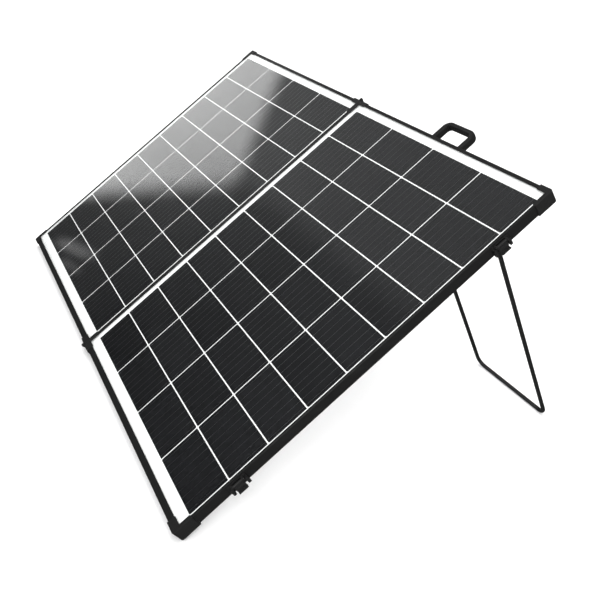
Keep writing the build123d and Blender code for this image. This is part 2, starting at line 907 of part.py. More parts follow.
save("right_rail_top", top_rail(True))
save_mirrored("left_rail_top", top_rail(False))
save_pair("rail_bottom", bottom_rail())
save("right_rail_outer", outer_rail(latch_screw_spot))
save_mirrored("left_rail_outer", outer_rail(catch_screw_spot))
save_pair("rail_fold", fold_rail())
save_pair("corner_keys", corner_keys())

save_pair("guard_top_outer", corner_guard(False, False))
save_pair("guard_top_fold", corner_guard(True, False))
save_pair("guard_bottom_outer", corner_guard(False, True))
save_pair("guard_bottom_fold", corner_guard(True, True))
save_pair("guard_screws", guard_screws())

save_pair("cross_brace", cross_brace())
save_pair("brace_rivets", brace_rivets())
save_pair("leg_brackets", leg_brackets())
save_pair("leg_clip", leg_clip())
save_pair("leg", leg())

save_pair("junction_box", junction_box())
save_pair("junction_lid", junction_lid())
save_pair("bypass_diodes", bypass_diodes())
save_pair("cable_gland", cable_gland())

save("right_hinge_leaves", hinge_leaves(False))
save_mirrored("left_hinge_leaves", hinge_leaves(True))
save("hinge_pins", hinge_pins())
save_pair("hinge_screws", hinge_screws())

save("handle", handle())
save("handle_screws", handle_screws())

save("latch_bases", latch_bases())
save("latch_pins", latch_pins())
save("latch_arm_lower", latch_arm(latch_heights[0]))
save("latch_arm_upper", latch_arm(latch_heights[1]))
save("latch_screws", side_screws(latch_screw_spot, latch_pad_out))
save_mirrored("catches", catches())
save_mirrored("catch_screws", side_screws(catch_screw_spot, catch_base_thickness))
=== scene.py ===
"""Folding two-panel solar charger: its finishes, its fine detail, and a plain studio."""

import json
import logging
import math
from dataclasses import dataclass
from enum import Enum
from typing import Any, Sequence

import bmesh
import bpy
import numpy as np
from mathutils import Matrix, Vector

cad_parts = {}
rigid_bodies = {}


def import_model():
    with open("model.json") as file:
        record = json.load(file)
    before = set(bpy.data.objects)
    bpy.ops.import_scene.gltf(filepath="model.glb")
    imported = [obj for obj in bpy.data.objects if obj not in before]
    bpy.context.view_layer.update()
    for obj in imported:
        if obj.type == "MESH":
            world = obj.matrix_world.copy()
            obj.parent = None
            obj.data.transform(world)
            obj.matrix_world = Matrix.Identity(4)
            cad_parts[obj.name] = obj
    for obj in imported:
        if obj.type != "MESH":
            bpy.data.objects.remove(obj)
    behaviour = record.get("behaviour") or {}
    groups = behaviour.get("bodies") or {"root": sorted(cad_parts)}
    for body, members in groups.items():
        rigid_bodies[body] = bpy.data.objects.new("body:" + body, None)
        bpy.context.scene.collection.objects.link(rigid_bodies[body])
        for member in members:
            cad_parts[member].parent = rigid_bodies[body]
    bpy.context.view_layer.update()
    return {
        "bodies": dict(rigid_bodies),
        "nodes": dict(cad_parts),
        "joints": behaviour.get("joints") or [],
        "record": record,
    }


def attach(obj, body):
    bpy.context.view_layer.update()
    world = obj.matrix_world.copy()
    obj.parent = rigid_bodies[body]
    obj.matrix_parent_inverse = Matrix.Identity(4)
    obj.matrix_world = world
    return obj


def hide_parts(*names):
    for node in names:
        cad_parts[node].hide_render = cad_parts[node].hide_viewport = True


log = logging.getLogger("charger")

MM = 0.001


class Side(Enum):
    """The two panels, and which way each one runs from the fold line."""

    RIGHT = 1
    LEFT = -1

    @property
    def label(self) -> str:
        """Name used at the front of the panel's nodes."""
        return self.name.lower()

    @property
    def body(self) -> str:
        """Body that the panel's fixed pieces ride on."""
        return f"{self.label}_panel"


@dataclass(frozen=True)
class Lean:
    """Where the leaning panels stand, in millimetres and radians."""

    tilt: float = math.radians(36.0)
    fold_line: float = -3.5
    back: float = 429.09550
    drop: float = 22.58676
    length: float = 901.0
    inner_face: float = 0.3
    outer_face: float = 667.7

    def place(self, across: Any, up: Any, depth: Any) -> np.ndarray:
        """World points of places on a panel.

        A point is the fold line's foot, plus across along X, plus up along the slope,
        minus depth along the slope's normal.

        Args:
            across: distances from the fold line, millimetres.
            up: distances from the panel's bottom edge.
            depth: distances behind the front of the glass.

        Returns:
            Array of points in metres, with the inputs' broadcast shape plus three.
        """
        places = (np.asarray(a, float) for a in (across, up, depth))
        across, up, depth = np.broadcast_arrays(*places)
        sin, cos = math.sin(self.tilt), math.cos(self.tilt)
        y = up * cos + depth * sin - self.back
        z = up * sin - depth * cos + self.drop
        return np.stack([across + self.fold_line, y, z], axis=-1) * MM

    @property
    def up(self) -> np.ndarray:
        """Direction up the slope."""
        return np.array([0.0, math.cos(self.tilt), math.sin(self.tilt)])

    @property
    def rear(self) -> np.ndarray:
        """Direction out of the back of a panel."""
        return np.array([0.0, math.sin(self.tilt), -math.cos(self.tilt)])


LEAN = Lean()


# ---- Shader maths ----


class Value:
    """A number that varies over a surface. Arithmetic on it adds Math nodes."""

    def __init__(self, graph: "Graph", socket: bpy.types.NodeSocket) -> None:
        """Wraps one output socket of a graph."""
        self.graph = graph
        self.socket = socket

    def math(self, operation: str, *others: Any) -> "Value":
        """Adds a Math node whose first input is this value."""
        return self.graph.math(operation, self, *others)

    def __add__(self, other: Any) -> "Value":
        """This plus other."""
        return self.math("ADD", other)

    __radd__ = __add__

    def __sub__(self, other: Any) -> "Value":
        """This minus other."""
        return self.math("SUBTRACT", other)

    def __rsub__(self, other: Any) -> "Value":
        """Other minus this."""
        return self.graph.math("SUBTRACT", other, self)

    def __mul__(self, other: Any) -> "Value":
        """This times other."""
        return self.math("MULTIPLY", other)

    __rmul__ = __mul__

    def __truediv__(self, other: Any) -> "Value":
        """This over other."""
        return self.math("DIVIDE", other)

    def fraction(self) -> "Value":
        """The part after the decimal point."""
        return self.math("FRACT")

    def floor(self) -> "Value":
        """The whole number below."""
        return self.math("FLOOR")

    def distance(self, other: Any) -> "Value":
        """Absolute difference from other."""
        return (self - other).math("ABSOLUTE")

    def sine(self) -> "Value":
        """Sine, in radians."""
        return self.math("SINE")

    def power(self, exponent: float) -> "Value":
        """This to a power."""
        return self.math("POWER", exponent)

    def ramp(self, low: float, high: float) -> "Value":
        """Smooth step from 0 at low to 1 at high."""
        return self.graph.value(
            "ShaderNodeMapRange",
            {"interpolation_type": "SMOOTHSTEP"},
            {"Value": self, "From Min": low, "From Max": high},
            "Result",
        )


class Graph:
    """The node tree of one material or world."""

    def __init__(self, owner: Any) -> None:
        """Empties the owner's tree.

        Args:
            owner: a material or a world.
        """
        owner.use_nodes = True
        self.owner = owner
        self.tree = owner.node_tree
        self.tree.nodes.clear()

    def node(
        self, kind: str, settings: dict | None = None, sockets: dict | None = None
    ) -> bpy.types.Node:
        """Adds a node.

        Args:
            kind: the node's type.
            settings: attributes, set first.
            sockets: values or links of its inputs, by name or by number.

        Returns:
            The new node.
        """
        made = self.tree.nodes.new(kind)
        for key, value in (settings or {}).items():
            setattr(made, key, value)
        for key, value in (sockets or {}).items():
            if isinstance(value, Value):
                value = value.socket
            if isinstance(value, bpy.types.NodeSocket):
                self.tree.links.new(value, made.inputs[key])
            else:
                made.inputs[key].default_value = value
        return made

    def value(
        self, kind: str, settings: dict | None, sockets: dict | None, output: Any = 0
    ) -> Value:
        """Adds a node and wraps one of its outputs."""
        return Value(self, self.node(kind, settings, sockets).outputs[output])

    def math(self, operation: str, *operands: Any) -> Value:
        """Adds a Math node on numbers and values."""
        return self.value("ShaderNodeMath", {"operation": operation}, dict(enumerate(operands)))

    def mix(self, factor: Any, low: Any, high: Any) -> bpy.types.NodeSocket:
        """Blends two colours, from low at 0 to high at 1."""
        blend = self.node("ShaderNodeMix", {"data_type": "RGBA"}, {0: factor, 6: low, 7: high})
        return blend.outputs[2]

    def laid_flat(self, scale: Sequence[float]) -> bpy.types.NodeSocket:
        """The point on the piece, turned until the slope is level, and scaled."""
        point = self.node("ShaderNodeTexCoord").outputs["Object"]
        sockets = {"Vector": point, "Rotation": (-LEAN.tilt, 0, 0), "Scale": tuple(scale)}
        return self.node("ShaderNodeMapping", {"vector_type": "POINT"}, sockets).outputs[0]

    def along_panel(self) -> tuple[Value, Value, Value]:
        """The point's across, up and depth on the leaning panel, in millimetres."""
        parts = self.node("ShaderNodeSeparateXYZ", None, {0: self.laid_flat((1 / MM,) * 3)})
        sin, cos = math.sin(LEAN.tilt), math.cos(LEAN.tilt)
        x, v, w = (Value(self, s) for s in parts.outputs)
        foot = LEAN.back * cos - LEAN.drop * sin
        front = LEAN.back * sin + LEAN.drop * cos
        return x - LEAN.fold_line, v + foot, front - w

    def noise(
        self, scale: float, detail: float = 2.0, stretch: Sequence[float] = (1, 1, 1)
    ) -> Value:
        """Noise over the piece.

        Args:
            scale: features to the metre.
            detail: octaves.
            stretch: scales along X, up the slope and out of it.

        Returns:
            Values around a half.
        """
        sockets = {"Vector": self.laid_flat(stretch), "Scale": scale, "Detail": detail}
        return self.value("ShaderNodeTexNoise", None, sockets)

    def bump(self, height: Value, distance: float, strength: float = 1.0) -> bpy.types.NodeSocket:
        """Normals of a relief, whose height is in units of distance."""
        sockets = {"Height": height, "Distance": distance, "Strength": strength}
        return self.node("ShaderNodeBump", None, sockets).outputs[0]

    def surface(self, sockets: dict) -> bpy.types.Node:
        """Adds the main shader and joins it to the output."""
        shader = self.node("ShaderNodeBsdfPrincipled", None, sockets)
        self.node("ShaderNodeOutputMaterial", None, {"Surface": shader.outputs[0]})
        return shader


def grey(level: float, warm: float = 0.0) -> tuple[float, float, float, float]:
    """A grey, slightly warmer or cooler by warm."""
    return (level * (1 + warm), level, level * (1 - warm), 1.0)


# ---- Finishes ----


class Grain(Enum):
    """How a finish's fine texture runs: scales across, up and out of the slope."""

    EVEN = (1.0, 1.0, 1.0)
    ACROSS = (0.03, 1.0, 1.0)
    UP = (1.0, 0.03, 1.0)


@dataclass(frozen=True)
class Coating:
    """Plastic, paint, anodising or bare metal, with clouding, grain and rubbed patches."""

    name: str
    level: float
    roughness: float
    metallic: float = 0.0
    grain: Grain = Grain.EVEN
    grain_scale: float = 1500.0
    grain_depth: float = 0.05 * MM
    warm: float = 0.0
    rubbed: float = 1.8
    specular: float = 0.5

    def build(self) -> bpy.types.Material:
        """Makes the material: clouding and rubbing vary colour and gloss, and grain the bump."""
        graph = Graph(bpy.data.materials.new(self.name))
        fine = graph.noise(self.grain_scale, 2.0, self.grain.value)
        cloud = graph.noise(9.0, 4.0)
        rubbing = graph.noise(55.0, 5.0, self.grain.value).ramp(0.56, 0.74)
        dark, pale = grey(self.level * 0.78, self.warm), grey(self.level * 1.22, self.warm)
        base = graph.mix(cloud, dark, pale)
        worn = graph.mix(rubbing * 0.35, base, grey(self.level * self.rubbed, self.warm))
        tone = graph.mix((fine - 0.35) * 0.6, worn, grey(self.level * 0.6, self.warm))
        gloss = (cloud - 0.5) * 0.16 + (fine - 0.5) * 0.10 + rubbing * -0.06 + self.roughness
        graph.surface(
            {
                "Base Color": tone,
                "Roughness": gloss,
                "Metallic": self.metallic,
                "Specular IOR Level": self.specular,
                "Normal": graph.bump(fine, self.grain_depth),
            }
        )
        return graph.owner


@dataclass(frozen=True)
class Silicon:
    """Dark cut cells with hair-fine lines, and a slightly different tone on every cell."""

    name: str
    start: float
    pitch: tuple[float, float] = (160.0, 93.0)
    top: float = 874.7
    finger_pitch: float = 1.55

    def build(self) -> bpy.types.Material:
        """Makes the material. Lines repeat up the panel, and a cell's number picks its tone."""
        graph = Graph(bpy.data.materials.new(self.name))
        across, up, _ = graph.along_panel()
        column = (across - self.start) / self.pitch[0]
        row = (self.top - up) / self.pitch[1]
        number = graph.node("ShaderNodeCombineXYZ", None, {0: column.floor(), 1: row.floor()})
        tone = graph.value("ShaderNodeTexWhiteNoise", None, {"Vector": number.outputs[0]}, "Value")
        rim_x = column.fraction().distance(0.5).ramp(0.40, 0.50)
        rim_v = row.fraction().distance(0.5).ramp(0.38, 0.49)
        rim = rim_x.math("MAXIMUM", rim_v)
        cloud = graph.noise(6.0, 3.0)
        wave = (up * (2 * math.pi / self.finger_pitch)).sine() * 0.5 + 0.5
        finger = wave.power(8.0)
        silicon = graph.mix(tone, (0.0068, 0.0070, 0.0082, 1), (0.0105, 0.0108, 0.0124, 1))
        coated = graph.mix(rim * 0.5 + (cloud - 0.5) * 0.5, silicon, (0.0045, 0.0047, 0.0062, 1))
        lined = graph.mix(finger * 0.10, coated, (0.085, 0.087, 0.092, 1))
        rough = (tone - 0.5) * 0.10 + finger * 0.15 + 0.38
        graph.surface(
            {"Base Color": lined, "Roughness": rough, "Specular IOR Level": 0.25,
             "Normal": graph.bump(finger, 0.01 * MM)}
        )
        return graph.owner


@dataclass(frozen=True)
class Pane:
    """Thin clear glass with a faint gloss, seen over the cells."""

    name: str
    head_on: float = 0.030
    roughness: float = 0.03

    def build(self) -> bpy.types.Material:
        """Makes the material: clear, with a mirror gloss that grows at a low angle."""
        graph = Graph(bpy.data.materials.new(self.name))
        dimple = graph.noise(170.0, 2.0)
        smear = graph.noise(5.0, 4.0).ramp(0.35, 0.8)
        clear = graph.node("ShaderNodeBsdfTransparent", None, {"Color": (0.985, 0.99, 0.988, 1)})
        gloss = graph.node(
            "ShaderNodeBsdfGlossy",
            None,
            {"Color": (1, 1, 1, 1), "Roughness": smear * 0.03 + self.roughness,
             "Normal": graph.bump(dimple, 0.0006 * MM)},
        )
        edge_on = graph.value("ShaderNodeLayerWeight", None, {"Blend": 0.5}, "Facing")
        mirrored = edge_on.power(5.0) * (1.0 - self.head_on) + self.head_on
        shader = graph.node(
            "ShaderNodeMixShader", None, {0: mirrored, 1: clear.outputs[0], 2: gloss.outputs[0]}
        )
        graph.node("ShaderNodeOutputMaterial", None, {"Surface": shader.outputs[0]})
        return graph.owner


@dataclass(frozen=True)
class Film:
    """White sheet behind the cells, with a faint woven emboss."""

    name: str
    level: float = 0.94
    weave_pitch: float = 0.9

    def build(self) -> bpy.types.Material:
        """Makes the material, with a fine square emboss and slight clouding."""
        graph = Graph(bpy.data.materials.new(self.name))
        across, up, _ = graph.along_panel()
        turns = 2 * math.pi / self.weave_pitch
        weave = (across * turns).sine() * (up * turns).sine() * 0.5 + 0.5
        cloud = graph.noise(12.0, 4.0)
        white, cream = grey(self.level), grey(self.level * 0.965, 0.004)
        relief = graph.bump(weave, 0.015 * MM)
        tone = graph.mix(cloud * 0.6 + weave * 0.15, white, cream)
        graph.surface({"Base Color": tone, "Roughness": cloud * 0.12 + 0.42, "Normal": relief})
        return graph.owner


MOULDED = Coating("moulded_black", 0.013, 0.50, grain_scale=1900, grain_depth=0.10 * MM)
GUARD = Coating("guard_black", 0.012, 0.46, grain_scale=1600, grain_depth=0.12 * MM)
GRIP = Coating("grip_black", 0.011, 0.42, grain_scale=1700, grain_depth=0.10 * MM)
FRAME_UP = Coating("frame_black_up", 0.015, 0.40, 0.35, Grain.UP, 2600, 0.03 * MM)
FRAME_ACROSS = Coating("frame_black_across", 0.015, 0.40, 0.35, Grain.ACROSS, 2600, 0.03 * MM)
BRACE = Coating("brace_black", 0.020, 0.45, 0.35, Grain.ACROSS, 2600, 0.03 * MM)
POWDER = Coating("powder_black", 0.010, 0.38, grain_scale=900, grain_depth=0.10 * MM)
SEAL = Coating("seal_rubber", 0.012, 0.72, grain_scale=2400, grain_depth=0.04 * MM, rubbed=1.3)
DARK_STEEL = Coating("dark_steel", 0.08, 0.34, 0.9, grain_scale=3000, grain_depth=0.02 * MM)
STEEL = Coating("steel", 0.42, 0.28, 1.0, grain_scale=3000, grain_depth=0.02 * MM, rubbed=1.2)
ALLOY = Coating("alloy", 0.55, 0.35, 1.0, Grain.ACROSS, 2400, 0.02 * MM, rubbed=1.15)
RIBBON = Coating("ribbon_silver", 0.30, 0.42, 1.0, Grain.UP, 3000, 0.01 * MM, rubbed=1.1)
RIGHT_CELLS = Silicon("cells_right", 18.3)
LEFT_CELLS = Silicon("cells_left", -652.9)
PANE = Pane("pane_clear")
FILM = Film("film_white")


class Finishes:
    """Builds each finish once, and puts it on pieces."""

    def __init__(self) -> None:
        """Starts with no finish built."""
        self.built: dict[str, bpy.types.Material] = {}

    def apply(self, piece: bpy.types.Object, finish: Any) -> None:
        """Gives a piece its finish."""
        if finish.name not in self.built:
            self.built[finish.name] = finish.build()
        piece.data.materials.clear()
        piece.data.materials.append(self.built[finish.name])


# ---- Meshes ----


def mesh_piece(
    name: str, points: np.ndarray, faces: Any, smooth: bool = True
) -> bpy.types.Object:
    """Makes an object from points and faces, with its faces turned outwards.

    Args:
        name: the object's name.
        points: array of points, in metres.
        faces: lists of point numbers.
        smooth: whether its faces are shaded smooth.

    Returns:
        The object, linked to the scene.
    """
    mesh = bpy.data.meshes.new(name)
    mesh.from_pydata(points.reshape(-1, 3), [], faces)
    shell = bmesh.new()
    shell.from_mesh(mesh)
    bmesh.ops.recalc_face_normals(shell, faces=shell.faces)
    shell.to_mesh(mesh)
    shell.free()
    mesh.polygons.foreach_set("use_smooth", np.full(len(mesh.polygons), smooth))
    mesh.validate()
    piece = bpy.data.objects.new(name, mesh)
    bpy.context.scene.collection.objects.link(piece)
    return piece


def tube_faces(rows: int, columns: int, copies: int = 1) -> list[list[int]]:
    """Faces of closed tubes, each a grid of rows round rings of columns.

    Args:
        rows: rings along a tube.
        columns: points round a ring.
        copies: how many tubes follow one another in the points.

    Returns:
        Lists of point numbers.
    """
    r, c = np.meshgrid(np.arange(rows - 1), np.arange(columns), indexing="ij")
    after = (c + 1) % columns
    here, there = r * columns, (r + 1) * columns
    quads = np.stack([here + c, here + after, there + after, there + c], -1)
    starts = np.arange(copies) * rows * columns
    sides = (quads.reshape(1, -1, 4) + starts[:, None, None]).reshape(-1, 4)
    ring = np.arange(columns)
    ends = np.stack([ring[::-1], ring + (rows - 1) * columns])
    caps = (ends[None] + starts[:, None, None]).reshape(-1, columns)
    return sides.tolist() + caps.tolist()


def rounded_path(
    corners: Sequence[tuple[float, float]], radii: Sequence[float], steps: int
) -> np.ndarray:
    """Flat path whose corners are arcs.

    Each arc is centred on its corner's bisector, at radius over the sine of half the
    corner's angle, and runs between the two points where it touches the straights.

    Args:
        corners: the path's ends and corners.
        radii: the arc radius at each inner corner.
        steps: points on an arc.

    Returns:
        Array of points, with the arcs' points and the ends.
    """
    pts = np.asarray(corners, float)
    path = [pts[:1]]
    for before, here, after, radius in zip(pts, pts[1:], pts[2:], radii):
        a = (before - here) / np.linalg.norm(before - here)
        b = (after - here) / np.linalg.norm(after - here)
        half = math.acos(float(np.clip(a @ b, -1, 1))) / 2
        centre = here + (a + b) / np.linalg.norm(a + b) * radius / math.sin(half)
        start = here + a * radius / math.tan(half) - centre
        end = here + b * radius / math.tan(half) - centre
        turn = math.pi - 2 * half
        t = np.linspace(0, 1, steps)[:, None]
        arc = np.sin((1 - t) * turn) * start + np.sin(t * turn) * end
        path.append(centre + arc / math.sin(turn))
    path.append(pts[-1:])
    return np.concatenate(path)


def resample(path: np.ndarray, spacing: float) -> np.ndarray:
    """Adds evenly spaced points along a path's long straights, and keeps its own points."""
    length = np.concatenate([[0], np.cumsum(np.linalg.norm(np.diff(path, axis=0), axis=1))])
    even = np.linspace(0, length[-1], max(2, int(length[-1] / spacing)))
    stations = np.unique(np.round(np.concatenate([length, even]), 4))
    stations = stations[np.concatenate([[True], np.diff(stations) > spacing * 0.12])]
    stations[-1] = length[-1]
    return np.stack([np.interp(stations, length, path[:, k]) for k in range(path.shape[1])], axis=1)


def sweep(
    path: np.ndarray, side: np.ndarray, section: np.ndarray, scale: np.ndarray | None = None
) -> np.ndarray:
    """Carries a section along a flat path.

    A point is the path's point, plus the section's first number along the path's own
    normal, plus its second number along the fixed side direction.

    Args:
        path: points in metres.
        side: unit vector square to the path's plane.
        section: points round the section, in metres, or one such ring for each path point.
        scale: size of the section at each path point.

    Returns:
        Grid of points: path points by section points by three.
    """
    tangent = np.gradient(path, axis=0)
    tangent /= np.linalg.norm(tangent, axis=1, keepdims=True)
    normal = np.cross(side, tangent)
    ring = np.broadcast_to(section, (len(path),) + section.shape[-2:])
    if scale is not None:
        ring = ring * scale[:, None, None]
    return path[:, None] + ring[..., :1] * normal[:, None] + ring[..., 1:] * side


def round_ends(path: np.ndarray, radius: float) -> tuple[np.ndarray, np.ndarray]:
    """Adds stations near a rod's ends and the section scale that rounds its rims.

    The scale is the height of a circle's quadrant whose width is the rim.

    Args:
        path: the rod's path, metres.
        radius: how far the rounding runs along the rod, metres.

    Returns:
        The path with its extra stations, and the scale at each.
    """
    quarter = np.linspace(0, math.pi / 2, 5)
    inset = (1.0 - np.cos(quarter))[:, None] * radius
    first = path[0] + (path[1] - path[0]) / np.linalg.norm(path[1] - path[0]) * inset
    last = path[-1] + (path[-2] - path[-1]) / np.linalg.norm(path[-2] - path[-1]) * inset
    rim = 0.68 + 0.32 * np.sin(quarter)
    return (
        np.concatenate([first, path[1:-1], last[::-1]]),
        np.concatenate([rim, np.ones(len(path) - 2), rim[::-1]]),
    )


def rounded_copy(
    node: bpy.types.Object, name: str, radius: float, segments: int
) -> bpy.types.Object:
    """A copy of a frame node with its edges rounded.

    Its loose triangles are merged and its flat faces joined, and a bevel rounds every
    edge sharper than 32 degrees.

    Args:
        node: the frame's node.
        name: the copy's name.
        radius: rounding, in millimetres.
        segments: facets across the rounding.

    Returns:
        The copy, at the origin.
    """
    shell = bmesh.new()
    shell.from_mesh(node.data)
    bmesh.ops.remove_doubles(shell, verts=shell.verts, dist=2e-6)
    bmesh.ops.dissolve_limit(
        shell, angle_limit=math.radians(0.5), verts=shell.verts, edges=shell.edges, delimit=set()
    )
    shell.verts.index_update()
    points = np.array([v.co for v in shell.verts])
    faces = [[v.index for v in f.verts] for f in shell.faces]
    shell.free()
    mesh = bpy.data.meshes.new(name)
    mesh.from_pydata(points, [], faces)
    mesh.polygons.foreach_set("use_smooth", np.full(len(mesh.polygons), True))
    piece = bpy.data.objects.new(name, mesh)
    bpy.context.scene.collection.objects.link(piece)
    bevel = piece.modifiers.new("edge_rounding", "BEVEL")
    bevel.width = radius * MM
    bevel.segments = segments
    bevel.limit_method = "ANGLE"
    bevel.angle_limit = math.radians(32)
    bevel.harden_normals = True
    return piece


class Workshop:
    """What every sub-assembly needs: the frame's nodes, the finishes, and how a piece is fitted."""

    def __init__(self, frame: dict) -> None:
        """Keeps the frame's nodes and material slots.
        """
        record = frame["record"]
        self.nodes: dict[str, bpy.types.Object] = frame["nodes"]
        self.slots = {s["node"]: s["material_slot"] for s in record["subparts"]}
        self.finishes = Finishes()
        self.body_of = {n: b for b, ns in record["behaviour"]["bodies"].items() for n in ns}

    def dress(self, node: str, finish: Any) -> None:
        """Gives a frame node its finish."""
        self.finishes.apply(self.nodes[node], finish)

    def add(self, piece: bpy.types.Object, finish: Any, like: str) -> None:
        """Finishes a new piece that joins a frame node without standing for it."""
        self.finishes.apply(piece, finish)
        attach(piece, self.body_of[like])
        log.info("%s: %d faces", piece.name, len(piece.data.polygons))

    def fit(self, piece: bpy.types.Object, finish: Any, node: str) -> None:
        """Finishes a new piece that stands for a frame node, and lets it ride with it."""
        self.add(piece, finish, node)
        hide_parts(node)

    def round_over(self, node: str, finish: Any, radius: float, segments: int = 2) -> None:
        """Replaces a node with a copy whose edges are rounded."""
        self.fit(rounded_copy(self.nodes[node], f"{node}_shaped", radius, segments), finish, node)


# ---- Laminate ----


@dataclass
class Laminate:
    """Glass, cells, their silver ribbons, the white sheet and the diodes of one panel."""

    shop: Workshop
    side: Side
    inset: float = 2.6
    glass_depth: float = 1.8
    glass_edge: float = 0.35
    cell_front: float = 2.0
    columns: int = 4
    rows: int = 9
    pitch: tuple[float, float] = (160.0, 93.0)
    gap: float = 2.6
    top: float = 874.7
    ribbons: int = 9
    ribbon_width: float = 0.62
    ribbon_height: float = 0.12
    ribbon_slope: float = 1.2
    dips: tuple[float, float] = (0.6, 0.15)

    @property
    def cells(self) -> Silicon:
        """The finish of this panel's cells, which also says where they begin."""
        return RIGHT_CELLS if self.side is Side.RIGHT else LEFT_CELLS

    def glass(self) -> None:
        """Pane with ground edges.

        It is four rectangles joined in turn, the first and the last stepped in.
        """
        faces = np.array([LEAN.inner_face + self.inset, LEAN.outer_face - self.inset])
        low, high = sorted(faces * self.side.value)
        edge, back = self.glass_edge, self.glass_depth
        depth = np.array([0.0, edge, back - edge, back])
        step = np.array([edge, 0.0, 0.0, edge])[:, None]
        corner_x = np.array([low, high, high, low]) + np.array([1, -1, -1, 1]) * step
        bottom, top = self.inset, LEAN.length - self.inset
        corner_v = np.array([bottom, bottom, top, top]) + np.array([1, 1, -1, -1]) * step
        points = LEAN.place(corner_x, corner_v, depth[:, None])
        pane = mesh_piece(f"{self.side.label}_pane", points, tube_faces(4, 4), smooth=False)
        self.shop.fit(pane, PANE, f"{self.side.label}_front_glass")

    def silver_ribbons(self) -> None:
        """Soldered ribbons up every column: a flattened arch that dips between the cells.

        Its section is a half circle with the root of the sine for its height.
        """
        edges = self.top - np.arange(self.rows + 1) * self.pitch[1]
        starts, ends = edges[:-1] - self.gap / 2, edges[1:] + self.gap / 2
        slope, (dip, end_dip) = self.ribbon_slope, self.dips
        up = np.stack([starts, starts - slope, ends + slope, ends], axis=1).reshape(-1)
        rise = np.tile([dip, 1.0, 1.0, dip], self.rows)
        rise[0] = rise[-1] = end_dip
        angle = np.linspace(0, math.pi, 5)
        width = np.cos(angle) * self.ribbon_width / 2
        height = np.sqrt(np.sin(angle)) * self.ribbon_height
        column = self.cells.start + (np.arange(self.columns) + 0.5) * self.pitch[0]
        offset = np.arange(self.ribbons) - (self.ribbons - 1) / 2
        offset = offset * (self.pitch[0] / self.ribbons)
        centre = (column[:, None] + offset).reshape(-1)
        across = centre[:, None, None] + width
        depth = self.cell_front + 0.01 - height * rise[:, None]
        points = LEAN.place(across, up[None, :, None], depth[None])
        faces = tube_faces(len(up), len(angle), len(centre))
        piece = mesh_piece(f"{self.side.label}_ribbons", points, faces)
        self.shop.add(piece, RIBBON, f"{self.side.label}_solar_cells")

    def build(self) -> None:
        """Makes and dresses the laminate."""
        label = self.side.label
        self.glass()
        self.silver_ribbons()
        self.shop.dress(f"{label}_solar_cells", self.cells)
        self.shop.dress(f"{label}_back_sheet", FILM)
        self.shop.dress(f"{label}_edge_seal", SEAL)
        self.shop.dress(f"{label}_bypass_diodes", MOULDED)


# ---- Frame ----


@dataclass
class FrameAndBack:
    """Rails, keys, guards, brace, brackets, clip and junction box of one panel."""

    shop: Workshop
    side: Side
    guard_radius: float = 0.75
    bracket_radius: float = 0.4
    clip_radius: float = 0.6
    box_radius: float = 0.6
    lid_radius: float = 0.5

    def build(self) -> None:
        """Dresses the rails and rounds the edges of the moulded pieces."""
        label = self.side.label
        for end, edge in (("top", "outer"), ("bottom", "fold")):
            self.shop.dress(f"{label}_rail_{end}", FRAME_ACROSS)
            self.shop.dress(f"{label}_rail_{edge}", FRAME_UP)
        self.shop.dress(f"{label}_corner_keys", ALLOY)
        self.shop.dress(f"{label}_brace_rivets", ALLOY)
        self.shop.dress(f"{label}_cross_brace", BRACE)
        for corner in ("top_outer", "top_fold", "bottom_outer", "bottom_fold"):
            self.shop.round_over(f"{label}_guard_{corner}", GUARD, self.guard_radius, 3)
        self.shop.round_over(f"{label}_leg_brackets", POWDER, self.bracket_radius)
        self.shop.round_over(f"{label}_leg_clip", MOULDED, self.clip_radius)
        self.shop.round_over(f"{label}_junction_box", MOULDED, self.box_radius)
        self.shop.round_over(f"{label}_junction_lid", MOULDED, self.lid_radius)
        self.shop.round_over(f"{label}_cable_gland", MOULDED, self.lid_radius)


# ---- Legs ----


@dataclass
class Leg:
    """Bent-rod leg of one panel: two pivots, two arms and a foot."""

    shop: Workshop
    side: Side
    radius: float = 4.5
    outer_arm: float = 656.0
    width: float = 228.0
    stub: float = 9.6
    pivot_up: float = 768.0
    pivot_depth: float = 16.5
    length: float = 511.95703
    foot_radius: float = 20.0
    elbow_radius: float = 5.0
    open_angle: float = math.radians(81.0)
    end_rounding: float = 1.2
    spacing: float = 12.0

    def build(self) -> None:
        """Carries a circle round the leg's path, with the cut ends rounded."""
        inner = self.outer_arm - self.width
        corners = [
            (self.outer_arm + self.stub, 0),
            (self.outer_arm, 0),
            (self.outer_arm, self.length),
            (inner, self.length),
            (inner, 0),
            (inner - self.stub, 0),
        ]
        radii = [self.elbow_radius, self.foot_radius, self.foot_radius, self.elbow_radius]
        flat = resample(rounded_path(corners, radii, 16), self.spacing)
        lean = LEAN.tilt + self.open_angle
        arm = np.array([0.0, -math.cos(lean), -math.sin(lean)])
        pivot = LEAN.place(0, self.pivot_up, self.pivot_depth)
        x = (flat[:, :1] * self.side.value) * np.array([[MM, 0, 0]])
        path, scale = round_ends(pivot + x + flat[:, 1:] * MM * arm, self.end_rounding * MM)
        angle = np.linspace(0, 2 * math.pi, 29)[:-1]
        section = np.stack([np.cos(angle), np.sin(angle)], axis=1) * self.radius * MM
        side = np.cross([1.0, 0, 0], arm)
        rings = sweep(path, side, section, scale)
        piece = mesh_piece(f"{self.side.label}_leg_rod", rings, tube_faces(len(path), len(angle)))
        self.shop.fit(piece, POWDER, f"{self.side.label}_leg")


# ---- Handle ----


